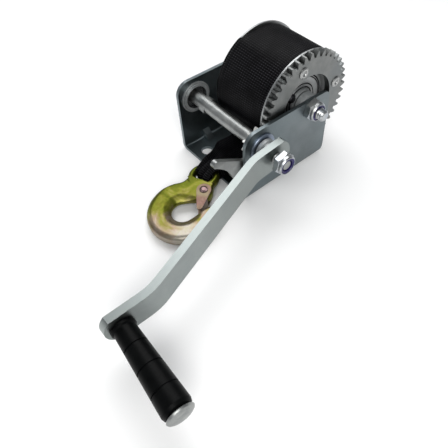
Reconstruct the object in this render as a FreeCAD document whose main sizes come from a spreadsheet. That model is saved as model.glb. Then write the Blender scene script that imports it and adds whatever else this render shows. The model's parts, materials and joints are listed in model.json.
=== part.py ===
import FreeCAD, Part
import math
import os
import Sketcher
from FreeCAD import Placement, Rotation, Vector

# Hand winch for a boat trailer.
#
# Frame of reference, in millimetres: the origin is the centre of the bracket's underside, +X runs along the
# axles towards the crank, -Y is the side that the strap leaves from, and +Z is up.

DIMENSIONS = [
    # The bent bracket.
    ("frame_width", 90.0),
    ("frame_depth", 94.0),
    ("frame_height", 69.0),
    ("sheet", 3.0),
    ("fold_radius", 5.0),
    ("front_corner", 12.0),
    ("rear_corner", 7.0),
    ("lower_corner", 9.0),
    ("base_hole_across", 48.0),
    ("base_hole_along", 70.0),
    ("base_hole_radius", 5.5),
    ("gusset_reach", 8.0),
    ("gusset_width", 7.0),
    ("gusset_place", 22.0),
    # The two axle lines.
    ("shaft_y", -29.3),
    ("shaft_z", 51.0),
    ("drum_z", 60.5),
    ("shaft_radius", 5.0),
    ("shaft_body_radius", 6.0),
    ("shaft_ear_reach", 7.4),
    ("shaft_ear_place", -29.0),
    ("shaft_ear_length", 7.0),
    ("near_sleeve_radius", 10.0),
    ("far_sleeve_radius", 12.0),
    ("bush_lip", 2.5),
    ("running_gap", 0.05),
    # The gear pair.
    ("gear_module", 2.175),
    ("gear_teeth", 41.0),
    ("pinion_teeth", 10.0),
    ("gear_back", 34.2),
    ("gear_front", 39.5),
    ("gear_hole_radius", 27.2),
    ("pinion_back", 34.6),
    ("pinion_front", 41.5),
    # The drum.
    ("hub_radius", 11.0),
    ("sleeve_radius", 7.5),
    ("flange_radius", 46.7),
    ("flange_sheet", 1.5),
    ("far_flange_x", -20.8),
    ("roll_radius", 45.0),
    ("roll_gap", 0.4),
    ("dish_depth", 2.7),
    ("rivet_circle", 34.4),
    ("rivet_radius", 3.0),
    ("rivet_head_radius", 4.6),
    ("strap_pin_radius", 4.0),
    ("strap_pin_circle", 17.6),
    # Nuts and threads.
    ("nut_across_flats", 17.0),
    ("thread_pitch", 1.5),
    ("thread_depth", 0.6),
    # The crank.
    ("arm_near_x", 55.3),
    ("arm_far_x", 90.8),
    ("arm_thickness", 6.0),
    ("arm_width", 23.1),
    ("arm_end_radius", 14.4),
    ("arm_length", 162.7),
    ("arm_first_bend", 20.8),
    ("arm_second_bend", 137.3),
    ("arm_droop", 5.1),
    ("arm_overbend", 3.2),
    ("arm_bend_radius", 16.0),
    ("grip_length", 65.0),
    ("grip_root_radius", 7.3),
    ("grip_end_radius", 9.8),
    ("grip_pin_radius", 4.0),
    # The pawl.
    ("pawl_back", 36.2),
    ("pawl_front", 40.2),
    ("pawl_pin_y", -33.0),
    ("pawl_pin_z", 23.0),
    ("pawl_pin_radius", 4.0),
    ("pawl_boss_radius", 8.5),
    # The hook.
    ("hook_thickness", 11.0),
    ("hook_bowl_radius", 29.5),
    ("hook_opening_radius", 9.7),
    ("hook_tip_radius", 5.2),
    ("hook_tip_angle", 20.0),
    ("hook_eye_distance", 40.0),
    ("hook_eye_radius", 13.0),
    ("hook_eye_hole", 8.0),
    ("hook_eye_thickness", 8.5),
    ("hook_boss_radius", 7.5),
    ("hook_turn", 27.0),
    ("hook_pitch", 4.0),
    ("latch_sheet", 1.2),
    ("latch_head_radius", 6.2),
    ("latch_tip_radius", 2.3),
    ("latch_rivet_radius", 2.2),
    # The strap.
    ("strap_width", 50.0),
    ("strap_thickness", 1.6),
    ("loop_radius", 6.2),
    ("loop_width", 8.0),
]

doc = FreeCAD.newDocument("boat_trailer_winch")
sheet = doc.addObject("Spreadsheet::Sheet", "dims")
for row, (alias, amount) in enumerate(DIMENSIONS, start=1):
    sheet.set("A%d" % row, alias)
    sheet.set("B%d" % row, "%g" % amount)
    sheet.setAlias("B%d" % row, alias)
doc.recompute()


class Size:
    """A length or angle with the spreadsheet expression that gives it."""

    def __init__(self, value, text):
        self.value = value
        self.text = text

    def __add__(self, other):
        other = as_size(other)
        return Size(self.value + other.value, "(%s + %s)" % (self.text, other.text))

    def __sub__(self, other):
        other = as_size(other)
        return Size(self.value - other.value, "(%s - %s)" % (self.text, other.text))

    def __mul__(self, other):
        other = as_size(other)
        return Size(self.value * other.value, "(%s * %s)" % (self.text, other.text))

    def __truediv__(self, other):
        other = as_size(other)
        return Size(self.value / other.value, "(%s / %s)" % (self.text, other.text))

    def __neg__(self):
        return Size(-self.value, "(0 - %s)" % self.text)


def as_size(amount):
    if isinstance(amount, Size):
        return amount
    return Size(float(amount), "%.6f" % amount)


def dim(alias):
    return Size(float(sheet.get(alias)), "dims." + alias)


def num(alias):
    return float(sheet.get(alias))


# ---------------------------------------------------------------- derived sizes

gear_teeth = int(num("gear_teeth"))
pinion_teeth = int(num("pinion_teeth"))
centre_distance = num("gear_module") * (gear_teeth + pinion_teeth) / 2
axle_rise = num("drum_z") - num("shaft_z")
shaft_yz = (num("shaft_y"), num("shaft_z"))
drum_yz = (num("shaft_y") + math.sqrt(centre_distance**2 - axle_rise**2), num("drum_z"))
mesh_angle = math.degrees(math.asin(axle_rise / centre_distance))

plate_out = dim("frame_width") / 2
plate_in = plate_out - dim("sheet")
far_flange_in = dim("far_flange_x") + dim("flange_sheet")
near_flange_in = dim("gear_back") - dim("flange_sheet")
near_sleeve_radius = dim("near_sleeve_radius")
far_sleeve_radius = dim("far_sleeve_radius")
bush_end = 1.5
far_cup_floor = -plate_in - 2.9


def along_x(yz, x=0.0):
    """The placement of a part that is turned about a line parallel to X."""
    return Placement(Vector(x, yz[0], yz[1]), Rotation())


# ---------------------------------------------------------------- modelling helpers

def plane_of(body, role):
    for feature in body.Origin.OriginFeatures:
        if feature.Role == role:
            return feature
    raise ValueError(role)


def new_body(label, place=None):
    body = doc.addObject("PartDesign::Body", label)
    body.Label = label
    if place is not None:
        body.Placement = place
    return body


def new_sketch(body, role, name, offset=None):
    sketch = body.newObject("Sketcher::SketchObject", body.Label + "_" + name)
    sketch.AttachmentSupport = [(plane_of(body, role), "")]
    sketch.MapMode = "FlatFace"
    if offset is not None:
        offset = as_size(offset)
        sketch.AttachmentOffset = Placement(Vector(0, 0, offset.value), Rotation())
        sketch.setExpression("AttachmentOffset.Base.z", offset.text)
    return sketch


def bind_distance(sketch, kind, geometry, point, size):
    size = as_size(size)
    index = sketch.addConstraint(Sketcher.Constraint(kind, -1, 1, geometry, point, size.value))
    sketch.setExpression("Constraints[%d]" % index, size.text)


def draw_polygon(sketch, points):
    """A closed outline whose corners are tied to the sheet."""
    corners = [(as_size(u), as_size(v)) for u, v in points]
    lines = []
    for index, (u, v) in enumerate(corners):
        after_u, after_v = corners[(index + 1) % len(corners)]
        start = Vector(u.value, v.value, 0)
        end = Vector(after_u.value, after_v.value, 0)
        lines.append(sketch.addGeometry(Part.LineSegment(start, end), False))
    for index, line in enumerate(lines):
        after = lines[(index + 1) % len(lines)]
        sketch.addConstraint(Sketcher.Constraint("Coincident", line, 2, after, 1))
    for line, (u, v) in zip(lines, corners):
        bind_distance(sketch, "DistanceX", line, 1, u)
        bind_distance(sketch, "DistanceY", line, 1, v)


def draw_circle(sketch, u, v, radius):
    u = as_size(u)
    v = as_size(v)
    radius = as_size(radius)
    circle = Part.Circle(Vector(u.value, v.value, 0), Vector(0, 0, 1), radius.value)
    index = sketch.addGeometry(circle, False)
    constraint = sketch.addConstraint(Sketcher.Constraint("Radius", index, radius.value))
    sketch.setExpression("Constraints[%d]" % constraint, radius.text)
    bind_distance(sketch, "DistanceX", index, 3, u)
    bind_distance(sketch, "DistanceY", index, 3, v)


def draw_path(sketch, start, steps):
    """A closed outline of lines and three-point arcs, through points worked out from the sizes."""
    here = Vector(start[0], start[1], 0)
    for step in steps:
        end = Vector(step[-1][0], step[-1][1], 0)
        if len(step) == 1:
            sketch.addGeometry(Part.LineSegment(here, end), False)
        else:
            middle = Vector(step[0][0], step[0][1], 0)
            sketch.addGeometry(Part.Arc(here, middle, end), False)
        here = end
    count = len(steps)
    for index in range(count):
        sketch.addConstraint(Sketcher.Constraint("Block", index))


def set_size(feature, name, size):
    size = as_size(size)
    setattr(feature, name, size.value)
    feature.setExpression(name, size.text)


def pad(body, sketch, length, midplane=False, reverse=False):
    feature = body.newObject("PartDesign::Pad", sketch.Name + "_pad")
    feature.Profile = sketch
    feature.Midplane = midplane
    feature.Reversed = reverse
    set_size(feature, "Length", length)
    sketch.Visibility = False
    return feature


def pocket(body, sketch, length=None, midplane=False, reverse=False):
    feature = body.newObject("PartDesign::Pocket", sketch.Name + "_pocket")
    feature.Profile = sketch
    feature.Midplane = midplane
    feature.Reversed = reverse
    if length is None:
        feature.Type = "ThroughAll"
    else:
        set_size(feature, "Length", length)
    return feature


def cut_check(body, sketch, **options):
    """A pocket, checked to have removed material."""
    doc.recompute()
    before = body.Shape.Volume
    feature = pocket(body, sketch, **options)
    doc.recompute()
    if not body.Shape.Volume < before - 0.01:
        raise RuntimeError("no material removed by " + feature.Name)
    return feature


def turned(label, profile, place):
    """A part turned about its own X axis; the profile is (along, radius)."""
    body = new_body(label, place)
    sketch = new_sketch(body, "XY_Plane", "profile")
    draw_polygon(sketch, profile)
    feature = body.newObject("PartDesign::Revolution", label + "_turned")
    feature.Profile = sketch
    feature.ReferenceAxis = (sketch, ["H_Axis"])
    feature.Angle = 360.0
    return body


def edges_where(shape, test):
    names = []
    for index, edge in enumerate(shape.Edges, start=1):
        if test(edge):
            names.append("Edge%d" % index)
    return names


def round_edges(body, test, radius, count=None):
    doc.recompute()
    base = body.Tip
    names = edges_where(base.Shape, test)
    if not names or (count is not None and len(names) != count):
        raise RuntimeError("%s: %d edges found" % (body.Label, len(names)))
    feature = body.newObject("PartDesign::Fillet", "%s_round%d" % (body.Label, len(body.Group)))
    feature.Base = (base, names)
    set_size(feature, "Radius", radius)
    return feature


def straight(edge, axis):
    """True if the edge is a straight line along the axis."""
    if not isinstance(edge.Curve, Part.Line):
        return False
    run = edge.Vertexes[-1].Point - edge.Vertexes[0].Point
    return run.Length > 1e-6 and abs(abs(run.normalize().dot(axis)) - 1) < 1e-6


def middle(edge):
    return edge.valueAt((edge.FirstParameter + edge.LastParameter) / 2)


def near(value, target, tolerance=0.05):
    return abs(value - target) < tolerance


ALONG_X = Vector(1, 0, 0)
ALONG_Y = Vector(0, 1, 0)
ALONG_Z = Vector(0, 0, 1)

nodes = []


def keep(node):
    nodes.append(node)
    return node


# ---------------------------------------------------------------- bracket

def make_bracket():
    body = new_body("frame_bracket")
    outline = new_sketch(body, "XZ_Plane", "channel")
    height = dim("frame_height")
    floor = dim("sheet")
    draw_polygon(outline, [
        (-plate_out, 0), (plate_out, 0), (plate_out, height), (plate_in, height),
        (plate_in, floor), (-plate_in, floor), (-plate_in, height), (-plate_out, height),
    ])
    pad(body, outline, dim("frame_depth"), midplane=True)

    half_depth = num("frame_depth") / 2
    wide = plate_out.value
    inner = plate_in.value
    top = num("frame_height")

    def outer_fold(edge):
        spot = middle(edge)
        return straight(edge, ALONG_Y) and near(abs(spot.x), wide) and near(spot.z, 0)

    def inner_fold(edge):
        spot = middle(edge)
        return straight(edge, ALONG_Y) and near(abs(spot.x), inner) and near(spot.z, num("sheet"))

    round_edges(body, outer_fold, dim("fold_radius"), 2)
    round_edges(body, inner_fold, dim("fold_radius") - dim("sheet"), 2)

    def upper_corner(side):
        def test(edge):
            spot = middle(edge)
            return straight(edge, ALONG_X) and near(spot.y, side * half_depth) and near(spot.z, top)
        return test

    round_edges(body, upper_corner(-1), dim("front_corner"), 2)
    round_edges(body, upper_corner(1), dim("rear_corner"), 2)

    # The base stops just short of the plates, whose lower rear corners are rounded.
    notch = new_sketch(body, "XY_Plane", "notch")
    rear = dim("frame_depth") / 2
    side = plate_out - dim("fold_radius")
    stop = rear - dim("sheet")
    draw_polygon(notch, [(-side, stop), (side, stop), (side, rear + 1), (-side, rear + 1)])
    cut_check(body, notch, length=dim("sheet") * 4, midplane=True)
    bend = num("lower_corner")
    arc_middle = (half_depth - bend * (1 - math.sqrt(0.5)), bend * (1 - math.sqrt(0.5)))
    for name, start in (("near_corner", side), ("far_corner", -plate_out - 1)):
        corner = new_sketch(body, "YZ_Plane", name, offset=start)
        draw_path(corner, (half_depth + 1, -1), [
            ((half_depth + 1, bend),),
            ((half_depth, bend),),
            (arc_middle, (half_depth - bend, 0)),
            ((half_depth - bend, -1),),
            ((half_depth + 1, -1),),
        ])
        cut_check(body, corner, length=dim("fold_radius") + 1, reverse=True)

    # Holes: four in the base, and those of the two axle lines and the pawl pin.
    base_holes = new_sketch(body, "XY_Plane", "base_holes")
    for sign_x in (-1, 1):
        for sign_y in (-1, 1):
            draw_circle(base_holes, dim("base_hole_across") * (sign_x / 2),
                        dim("base_hole_along") * (sign_y / 2), dim("base_hole_radius"))
    cut_check(body, base_holes, length=dim("sheet") * 4, midplane=True)
    axle_hole = new_sketch(body, "YZ_Plane", "axle_hole")
    draw_circle(axle_hole, drum_yz[0], dim("drum_z"), dim("shaft_radius"))
    cut_check(body, axle_hole, midplane=True)
    near_holes = new_sketch(body, "YZ_Plane", "near_holes", offset=plate_in - 1)
    draw_circle(near_holes, dim("shaft_y"), dim("shaft_z"), near_sleeve_radius)
    draw_circle(near_holes, dim("pawl_pin_y"), dim("pawl_pin_z"), dim("pawl_pin_radius"))
    cut_check(body, near_holes, length=dim("sheet") + 2, reverse=True)
    far_hole = new_sketch(body, "YZ_Plane", "far_hole", offset=-plate_in + 1)
    draw_circle(far_hole, dim("shaft_y"), dim("shaft_z"), far_sleeve_radius)
    cut_check(body, far_hole, length=dim("sheet") + 2)

    # Pressed gussets stiffen the two folds.
    reach = dim("gusset_reach")
    floor_in = dim("sheet")
    for index, place in enumerate((-1, 1)):
        for sign in (-1, 1):
            rib = new_sketch(body, "XZ_Plane", "gusset%d%s" % (index, "a" if sign < 0 else "b"),
                             offset=dim("gusset_place") * -place - dim("gusset_width") / 2)
            wall = plate_in * sign
            draw_polygon(rib, [(wall, floor_in), (wall - reach * sign, floor_in), (wall, floor_in + reach)])
            pad(body, rib, dim("gusset_width"))
    return keep(body)


make_bracket()


# ---------------------------------------------------------------- fixed pieces

def make_bushes():
    """The far bush is an open cup with a rolled lip; the near one is a flat collar outside its plate."""
    bore = dim("shaft_radius") + dim("running_gap")
    face = -plate_in
    lip_out = far_sleeve_radius + dim("bush_lip")
    cup_mouth = far_sleeve_radius + 0.8
    cup_bore = far_sleeve_radius - 1.6
    lip_step = 1.1
    keep(turned("far_bush", [
        (-plate_out - bush_end, bore), (-plate_out - bush_end, far_sleeve_radius), (face, far_sleeve_radius),
        (face, lip_out), (face + lip_step, lip_out), (face + lip_step, cup_mouth), (face + lip_step * 2, cup_mouth),
        (face + lip_step * 2, cup_bore), (far_cup_floor, cup_bore), (far_cup_floor, bore),
    ], along_x(shaft_yz)))
    collar_out = near_sleeve_radius + dim("bush_lip") - 0.2
    bevel = 0.5
    keep(turned("near_bush", [
        (plate_in, bore), (plate_in, near_sleeve_radius), (plate_out, near_sleeve_radius), (plate_out, collar_out),
        (plate_out + bush_end - bevel, collar_out), (plate_out + bush_end, collar_out - bevel),
        (plate_out + bush_end, bore),
    ], along_x(shaft_yz)))


def threaded(start, end, radius):
    """Profile points of a thread's ridges, from start to end along the axis."""
    pitch = num("thread_pitch")
    depth = num("thread_depth")
    turns = max(1, int(abs(end - start) / pitch))
    step = (end - start) / turns
    points = []
    for turn in range(turns):
        points.append((start + step * turn, radius - depth))
        points.append((start + step * (turn + 0.5), radius))
    points.append((end, radius - depth))
    return points


def add_hexagon(body, name, offset, length, across_flats):
    sketch = new_sketch(body, "YZ_Plane", name, offset=offset)
    reach = across_flats / math.sqrt(3)
    corners = []
    for side in range(6):
        turn = math.radians(60 * side + 15)
        corners.append((reach * math.cos(turn), reach * math.sin(turn)))
    draw_polygon(sketch, corners)
    return pad(body, sketch, length)


def bevel_hexagon(body, name, x_face, x_back, across_flats):
    """Turns the corners off the outer face of a hexagon."""
    doc.recompute()
    before = body.Shape.Volume
    sketch = new_sketch(body, "XY_Plane", name)
    reach = across_flats / math.sqrt(3)
    flat = across_flats / 2
    draw_polygon(sketch, [(x_face, flat * 0.97), (x_face, reach + 1), (x_back, reach + 1), (x_back, reach)])
    groove = body.newObject("PartDesign::Groove", name + "_groove")
    groove.Profile = sketch
    groove.ReferenceAxis = (sketch, ["H_Axis"])
    groove.Angle = 360.0
    doc.recompute()
    if not body.Shape.Volume < before:
        raise RuntimeError("bevel removed nothing on " + body.Label)


def lock_nut(label, yz, start, hex_length, collar_length):
    """A hexagon with a domed collar, and the nylon ring in the collar."""
    bore = num("shaft_radius")
    across = num("nut_across_flats")
    middle_x = start + hex_length
    end = middle_x + collar_length
    body = turned(label, [
        (start, bore), (start, bore + 2), (middle_x, bore + 2), (middle_x, bore + 3.3), (end - 1, bore + 3.1),
        (end, bore + 2.4), (end, bore + 2.0), (end - 0.5, bore + 2.0), (end - 0.5, bore + 1.9), (middle_x, bore + 1.9),
        (middle_x, bore),
    ], along_x(yz))
    add_hexagon(body, "hexagon", start, hex_length, across)
    bevel_hexagon(body, label + "_bevel", middle_x + 0.01, middle_x - 1.3, across)
    doc.recompute()
    hole = new_sketch(body, "YZ_Plane", "thread_hole", offset=start - 1)
    draw_circle(hole, 0, 0, bore)
    cut_check(body, hole, length=hex_length + 1, reverse=True)
    keep(body)
    keep(turned(label + "_insert", [
        (middle_x, bore), (middle_x, bore + 1.9), (end - 0.5, bore + 1.9), (end - 0.5, bore),
    ], along_x(yz)))


def make_drum_axle():
    """The long bolt on which the drum turns, its sleeve, spacer ring and lock nut."""
    radius = num("shaft_radius")
    out = plate_out.value
    thread_start = out + 8.6
    tip = out + 15.2
    ridges = threaded(thread_start, tip - 0.8, radius)
    body = turned("drum_axle", [(-out - 6.4, 0), (-out - 6.4, radius + 1), (-out, radius + 1), (-out, radius)]
                  + [(thread_start, radius)] + ridges + [(tip, radius - 1.4), (tip, 0)], along_x(drum_yz))
    add_hexagon(body, "head", -out - 6.4, 6.4, num("nut_across_flats"))
    keep(body)
    keep(turned("axle_sleeve", [
        (-plate_in, dim("shaft_radius")), (-plate_in, dim("sleeve_radius")),
        (plate_in, dim("sleeve_radius")), (plate_in, dim("shaft_radius")),
    ], along_x(drum_yz)))
    keep(turned("drum_spacer", [
        (dim("pinion_back") + 0.4, dim("sleeve_radius")), (dim("pinion_back") + 0.4, dim("sleeve_radius") + 2.2),
        (dim("pinion_back") + 1.2, dim("sleeve_radius") + 3.2), (plate_in, dim("sleeve_radius") + 3.2),
        (plate_in, dim("sleeve_radius")),
    ], along_x(drum_yz)))
    lock_nut("axle_nut", drum_yz, out, 5.6, 3.0)


make_bushes()
make_drum_axle()


# ---------------------------------------------------------------- gear pair

def involute(angle):
    return math.tan(angle) - angle


def gear_outline(teeth, first_tooth):
    """Corners of a spur gear's outline, with its first tooth centred at the given angle."""
    pressure = math.radians(20.0)
    backlash = 0.3
    flank_steps = 5
    pitch_radius = num("gear_module") * teeth / 2
    base_radius = pitch_radius * math.cos(pressure)
    tip_radius = pitch_radius + num("gear_module")
    root_radius = pitch_radius - 1.25 * num("gear_module")
    half_tooth = math.pi / (2 * teeth) - backlash / (2 * pitch_radius)
    start_radius = max(base_radius, root_radius)
    flank = []
    for step in range(flank_steps + 1):
        radius = start_radius + (tip_radius - start_radius) * step / flank_steps
        spread = math.acos(min(1.0, base_radius / radius))
        flank.append((radius, half_tooth + involute(pressure) - involute(spread)))
    if root_radius < base_radius:
        flank.insert(0, (root_radius, flank[0][1]))
    corners = []
    for tooth in range(teeth):
        centre = math.radians(first_tooth) + 2 * math.pi * tooth / teeth
        rising = [(radius, centre - half) for radius, half in flank]
        falling = [(radius, centre + half) for radius, half in reversed(flank)]
        for radius, turn in rising + falling:
            corners.append(Vector(0, radius * math.cos(turn), radius * math.sin(turn)))
    return corners


def toothed_wheel(label, teeth, first_tooth, back, front, bore_radius, yz, holes=()):
    corners = gear_outline(teeth, first_tooth)
    face = Part.Face(Part.makePolygon(corners + corners[:1]))
    wheel = face.extrude(Vector(front - back, 0, 0))
    wheel = wheel.cut(Part.makeCylinder(bore_radius, front - back, Vector(0, 0, 0), ALONG_X))
    for hole_y, hole_z, hole_radius in holes:
        wheel = wheel.cut(Part.makeCylinder(hole_radius, front - back, Vector(0, hole_y, hole_z), ALONG_X))
    node = doc.addObject("Part::Feature", label)
    node.Label = label
    node.Shape = wheel
    node.Placement = along_x(yz, back)
    return keep(node)


rivet_places = []
for quarter in range(4):
    turn = math.radians(12.5 + 90 * quarter)
    rivet_places.append((num("rivet_circle") * math.cos(turn), num("rivet_circle") * math.sin(turn)))

strap_pin_turn = math.radians(143)
strap_pin_place = (num("strap_pin_circle") * math.cos(strap_pin_turn),
                   num("strap_pin_circle") * math.sin(strap_pin_turn))

toothed_wheel("ring_gear", gear_teeth, mesh_angle + 180 + 180 / gear_teeth, num("gear_back"), num("gear_front"),
              num("gear_hole_radius"), drum_yz,
              [(y, z, num("rivet_radius")) for y, z in rivet_places])
toothed_wheel("pinion", pinion_teeth, mesh_angle, num("pinion_back"), num("pinion_front"),
              num("shaft_radius"), shaft_yz)


# ---------------------------------------------------------------- drum

def make_drum():
    hub_end = dim("pinion_back") - 0.1
    bore = dim("sleeve_radius") + dim("running_gap")
    keep(turned("drum_hub", [
        (-plate_in + 0.4, bore), (-plate_in + 0.4, dim("hub_radius")), (hub_end, dim("hub_radius")),
        (hub_end, bore),
    ], along_x(drum_yz)))

    flange_sheet = dim("flange_sheet")
    far = turned("far_flange", [
        (dim("far_flange_x"), dim("hub_radius")), (dim("far_flange_x"), dim("flange_radius")),
        (far_flange_in, dim("flange_radius")), (far_flange_in, dim("hub_radius")),
    ], along_x(drum_yz))
    far_holes = new_sketch(far, "YZ_Plane", "pin_hole", offset=dim("far_flange_x") - 1)
    draw_circle(far_holes, strap_pin_place[0], strap_pin_place[1], dim("strap_pin_radius"))
    cut_check(far, far_holes, length=flange_sheet + 2, reverse=True)
    keep(far)

    rim = dim("flange_radius") - 0.7
    dish_face = dim("gear_back") - dim("dish_depth")
    near_side = turned("near_flange", [
        (dish_face - flange_sheet, dim("hub_radius")), (dish_face, dim("hub_radius")), (dish_face, 25.5),
        (dim("gear_back"), 28.2), (dim("gear_back"), rim), (near_flange_in, rim), (near_flange_in, 28.8),
        (dish_face - flange_sheet, 26.1),
    ], along_x(drum_yz))
    near_holes = new_sketch(near_side, "YZ_Plane", "holes", offset=near_flange_in - 6)
    draw_circle(near_holes, strap_pin_place[0], strap_pin_place[1], dim("strap_pin_radius"))
    for y, z in rivet_places:
        draw_circle(near_holes, y, z, dim("rivet_radius"))
    cut_check(near_side, near_holes, length=12, reverse=True)
    keep(near_side)

    keep(turned("wound_strap", [
        (far_flange_in + dim("roll_gap"), 22.3), (far_flange_in + dim("roll_gap"), dim("roll_radius")),
        (near_flange_in - dim("roll_gap"), dim("roll_radius")), (near_flange_in - dim("roll_gap"), 29.5),
        (dish_face - 1.9, 27.0), (dish_face - 1.9, 22.3),
    ], along_x(drum_yz)))


def make_rivets():
    """Four rivets with dimpled heads, kept together as separate solids."""
    face = num("gear_front")
    links = []
    for index, (y, z) in enumerate(rivet_places):
        rivet = turned("gear_rivet%d" % index, [
            (near_flange_in, 0), (near_flange_in, dim("rivet_radius")), (face, dim("rivet_radius")),
            (face, dim("rivet_head_radius")), (face + 0.7, dim("rivet_head_radius")), (face + 1.3, 3.6),
            (face + 1.3, 2.4), (face + 0.5, 1.7), (face + 0.5, 0),
        ], along_x((drum_yz[0] + y, drum_yz[1] + z)))
        links.append(rivet)
    group = doc.addObject("Part::Compound", "gear_rivets")
    group.Label = "gear_rivets"
    group.Links = links
    keep(group)


def make_strap_pin():
    radius = num("strap_pin_radius")
    head = num("far_flange_x")
    thread_start = num("gear_back") - num("dish_depth")
    ridges = threaded(thread_start, thread_start + 4.6, radius)
    body = turned("strap_pin", [(head - 5, 0), (head - 5, radius + 1), (head, radius + 1), (head, radius)]
                  + [(thread_start - 0.1, radius)] + ridges
                  + [(thread_start + 5.2, radius - 1.2), (thread_start + 5.2, 0)],
                  along_x((drum_yz[0] + strap_pin_place[0], drum_yz[1] + strap_pin_place[1])))
    add_hexagon(body, "head", head - 5, 5.0, 10.5)
    keep(body)


make_drum()
make_rivets()
make_strap_pin()


# ---------------------------------------------------------------- crank

arm_place = Placement(Vector(0, shaft_yz[0], shaft_yz[1]), Rotation(ALONG_X, 180 + num("arm_droop")))


def make_shaft():
    radius = num("shaft_radius")
    far_end = -plate_out.value - 5.2
    clip = -plate_out.value - 3.0
    arm_out = num("arm_near_x") + num("arm_thickness")
    nut_end = arm_out + 11.7
    ridges = threaded(arm_out, nut_end - 1.0, radius)
    body_radius = dim("shaft_body_radius")
    body_start = far_cup_floor + 0.4
    shaft = turned("drive_shaft", [
        (far_end, 0), (far_end, radius - 0.6), (far_end + 0.6, radius), (clip - 1.1, radius),
        (clip - 1.1, radius - 0.8), (clip, radius - 0.8), (clip, radius), (body_start, radius),
        (body_start, body_radius), (dim("pinion_back"), body_radius), (dim("pinion_back"), radius),
        (arm_out - 0.1, radius),
    ] + ridges + [(nut_end, radius - 1.2), (nut_end, 0)], along_x(shaft_yz))
    add_ears(shaft)
    keep(shaft)
    keep(make_circlip(clip - 1.05, 1.0))
    keep(turned("shaft_collar", [
        (plate_out + 1.9, radius), (plate_out + 1.9, radius + 3.6), (plate_out + 2.5, radius + 4.2),
        (plate_out + 5.5, radius + 4.2), (plate_out + 6.3, radius + 3.0), (dim("arm_near_x"), radius + 3.0),
        (dim("arm_near_x"), radius),
    ], along_x(shaft_yz)))
    lock_nut("crank_nut", shaft_yz, arm_out + 5.2, 4.9, 2.8)


def add_ears(shaft):
    """Two ears, pinched out of the shaft's sides just inside the far plate, stop it from sliding out."""
    ears = new_sketch(shaft, "YZ_Plane", "ears", offset=dim("shaft_ear_place"))
    reach = num("shaft_ear_reach")
    flat = num("shaft_body_radius") - 0.6
    tilt = math.radians(28.0)

    def spot(along, across):
        return (along * math.cos(tilt) - across * math.sin(tilt), along * math.sin(tilt) + across * math.cos(tilt))

    draw_path(ears, spot(reach, 0), [
        (spot(0, flat), spot(-reach, 0)),
        (spot(0, -flat), spot(reach, 0)),
    ])
    pad(shaft, ears, dim("shaft_ear_length"))


def make_circlip(x, thickness):
    body = new_body("shaft_circlip", along_x(shaft_yz))
    sketch = new_sketch(body, "YZ_Plane", "ring", offset=x)
    groove = num("shaft_radius") - 0.75
    outer = num("shaft_radius") + 2.6
    gap = math.radians(35)
    down = -math.pi / 2

    def spot(radius, turn):
        return (radius * math.cos(turn), radius * math.sin(turn))

    draw_path(sketch, spot(outer, down + gap), [
        (spot(outer, down + math.pi), spot(outer, down - gap)),
        (spot(groove, down - gap),),
        (spot(groove, down + math.pi), spot(groove, down + gap)),
        (spot(outer, down + gap),),
    ])
    pad(body, sketch, thickness)
    return body


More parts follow.
